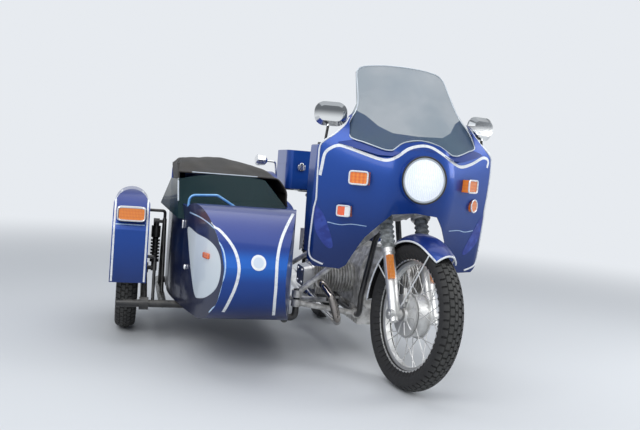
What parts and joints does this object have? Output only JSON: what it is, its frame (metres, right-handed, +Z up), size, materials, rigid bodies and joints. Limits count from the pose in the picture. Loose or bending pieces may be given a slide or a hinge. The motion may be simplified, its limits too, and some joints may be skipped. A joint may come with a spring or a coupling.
{
  "type": "touring motorcycle with sidecar",
  "caption": "Flat-twin touring motorcycle with a full fairing, a luggage box and a rigid single-seat sidecar on its right, standing on three wire wheels.",
  "frame": {"origin": "middle of the ground that the outfit covers, at tyre level", "axes": "+Z up, front towards -Y, the sidecar on the vehicle's right towards -X"},
  "size_m": [1.763, 2.1453, 1.4489],
  "materials": {
    "black_frame": "gloss black paint",
    "cast_alloy": "dull cast",
    "polished_alloy": "polished",
    "chrome": "bright",
    "blue_paint": "metallic blue",
    "black_vinyl": "matt vinyl",
    "red_lens": "clear red lens and bright housing",
    "smoked_screen": "lightly smoked",
    "headlamp_glass": "fluted glass",
    "amber_lens": "amber lens",
    "white_paint": "gloss white",
    "black_rubber": "ribbed",
    "black_plastic": "satin",
    "tyre_rubber": "worn tread"
  },
  "bodies": {
    "motorcycle": {"main_frame": "black_frame", "crankcase": "cast_alloy", "cylinders": "cast_alloy", "cylinder_heads": "cast_alloy", "rocker_covers": "polished_alloy", "carburettors": "cast_alloy", "exhaust": "chrome", "swingarm": "black_frame", "rear_shocks": "black_frame", "fuel_tank": "blue_paint", "seat": "black_vinyl", "side_panels": "blue_paint", "rear_fender": "blue_paint", "rear_lamps": "red_lens", "luggage_rack": "chrome", "trunk_box": "blue_paint", "fairing": "blue_paint", "windscreen": "smoked_screen", "headlamp": "headlamp_glass", "fairing_signals": "amber_lens", "mirrors": "chrome", "sidecar_body": "blue_paint", "sidecar_screen": "smoked_screen", "sidecar_cover": "black_vinyl", "sidecar_seat": "black_vinyl", "sidecar_frame": "black_frame", "sidecar_struts": "cast_alloy", "sidecar_swingarm": "black_frame", "sidecar_shock": "black_frame", "sidecar_fender": "blue_paint", "sidecar_lamps": "amber_lens", "nose_disc": "white_paint", "deck_rail": "blue_paint"},
    "fork": {"fork_sliders": "polished_alloy", "fork_tubes": "chrome", "fork_gaiters": "black_rubber", "fork_yokes": "cast_alloy", "fork_reflectors": "amber_lens", "handlebar": "chrome", "instruments": "black_plastic", "front_brake_plate": "polished_alloy", "front_fender": "blue_paint", "fender_stays": "chrome"},
    "front_wheel": {"front_tyre": "tyre_rubber", "front_rim": "polished_alloy", "front_hub": "polished_alloy"},
    "rear_wheel": {"rear_tyre": "tyre_rubber", "rear_rim": "polished_alloy", "rear_hub": "polished_alloy"},
    "sidecar_wheel": {"sidecar_tyre": "tyre_rubber", "sidecar_rim": "polished_alloy", "sidecar_hub": "polished_alloy"},
    "trunk_lid": {"trunk_lid": "blue_paint"},
    "centre_stand": {"centre_stand": "black_frame"}
  },
  "joints": [
    {"name": "steering", "type": "hinge", "parent": "motorcycle", "child": "fork", "pos_m": [0.4115, -0.70665, 0.30191], "axis": [0, 0.4617, 0.887], "range_deg": [-44.2, 25.8]},
    {"name": "front_wheel_spin", "type": "hinge", "parent": "fork", "child": "front_wheel", "pos_m": [0.41949, -0.75043, 0.3247], "axis": [0.9871, 0.1418, -0.0738], "continuous": true},
    {"name": "rear_wheel_spin", "type": "hinge", "parent": "motorcycle", "child": "rear_wheel", "pos_m": [0.4115, 0.689, 0.324], "axis": [1, 0, 0], "continuous": true},
    {"name": "sidecar_wheel_spin", "type": "hinge", "parent": "motorcycle", "child": "sidecar_wheel", "pos_m": [-0.7935, 0.327, 0.324], "axis": [1, 0, 0], "continuous": true},
    {"name": "trunk_lid_hinge", "type": "hinge", "parent": "motorcycle", "child": "trunk_lid", "pos_m": [0.4115, 1.0665, 0.948], "axis": [-1, 0, 0], "range_deg": [0, 100]},
    {"name": "centre_stand_hinge", "type": "hinge", "parent": "motorcycle", "child": "centre_stand", "pos_m": [0.4115, 0.154, 0.196], "axis": [-1, 0, 0], "range_deg": [0, 95], "stiffness_Nm_per_rad": 4, "springref_deg": -68.75}
  ]
}
